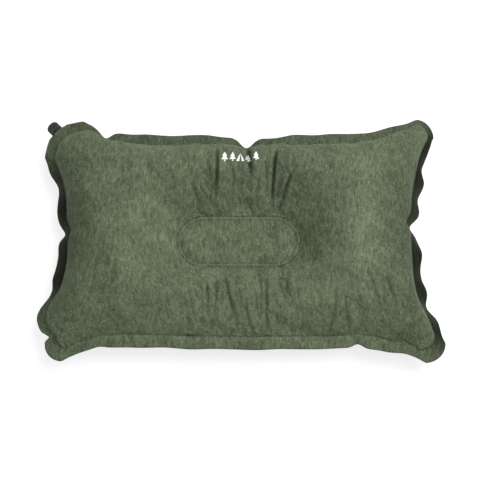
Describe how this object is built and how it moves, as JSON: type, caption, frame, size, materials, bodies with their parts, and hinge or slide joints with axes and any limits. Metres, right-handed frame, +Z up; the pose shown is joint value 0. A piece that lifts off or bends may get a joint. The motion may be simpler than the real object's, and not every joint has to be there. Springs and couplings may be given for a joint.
{
  "type": "camp pillow",
  "caption": "Self-inflating camp pillow: welded fabric panels with a scalloped edge and a long dimple, a foam core and a corner twist valve.",
  "frame": {"origin": "on the ground, under the middle of the pillow's outline", "axes": "+X along the pillow's length, +Y from the front edge to the edge with the valve's corner, +Z up out of the brushed panel"},
  "size_m": [0.47, 0.302, 0.089],
  "materials": {
    "top_panel": "brushed suede-like nap, olive",
    "bottom_panel": "plain coated weave, dark olive",
    "foam_core": "open-cell polyurethane foam, matt",
    "valve_seat": "soft moulded plastic, satin",
    "valve_stem": "moulded, satin",
    "stem_o_ring": "smooth rubber",
    "valve_plug": "moulded, satin",
    "cap_gasket": "smooth rubber",
    "valve_cap": "moulded, fine ribs, satin"
  },
  "bodies": {
    "pillow": {"top_panel": "top_panel", "bottom_panel": "bottom_panel", "foam_core": "foam_core", "valve_seat": "valve_seat", "valve_stem": "valve_stem", "stem_o_ring": "stem_o_ring", "valve_plug": "valve_plug"},
    "gasket": {"cap_gasket": "cap_gasket"},
    "twist_cap": {"valve_cap": "valve_cap"}
  },
  "joints": [
    {"name": "cap_rise", "type": "slide", "parent": "pillow", "child": "gasket", "axis": [-0.7071, 0.7071, 0], "range_m": [0, 0.0015]},
    {"name": "cap_turn", "type": "hinge", "parent": "gasket", "child": "twist_cap", "pos_m": [-0.21948, 0.13548, 0.04], "axis": [-0.7071, 0.7071, 0], "range_deg": [0, 270]}
  ],
  "couplings": [
    {"joint": "cap_turn", "follows": "cap_rise", "rad_per_m": 3141.5}
  ]
}
